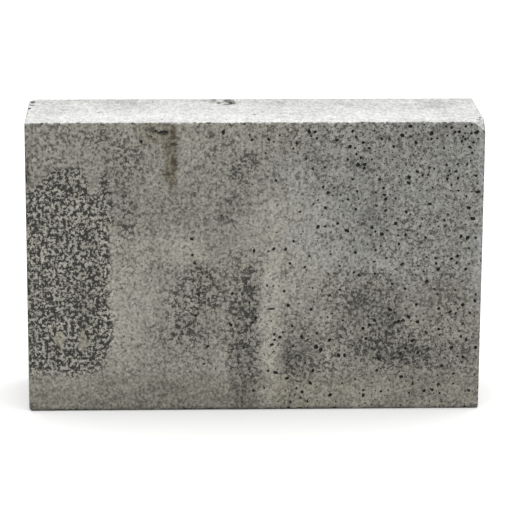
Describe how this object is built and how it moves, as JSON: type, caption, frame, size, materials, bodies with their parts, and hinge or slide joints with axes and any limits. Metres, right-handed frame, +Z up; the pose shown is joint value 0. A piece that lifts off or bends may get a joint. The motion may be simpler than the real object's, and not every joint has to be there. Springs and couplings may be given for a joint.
{
  "type": "concrete block",
  "caption": "Solid rectangular concrete block with worn edges and a broken corner, laid in walls, footings and pads or used as a weight.",
  "frame": {"origin": "middle of the long narrow face that the block stands on", "axes": "+X along the length, from the left end to the right end seen from the front; +Y through the thickness, from the front face to the back face; +Z up"},
  "size_m": [0.39, 0.1, 0.255],
  "materials": {
    "concrete": "as-cast grey concrete, matt, blotched and open-pored, with small air holes and rough patches where the paste is thin; paler and dusty on the top face"
  },
  "bodies": {
    "root": {"concrete_block": "concrete"}
  },
  "joints": []
}
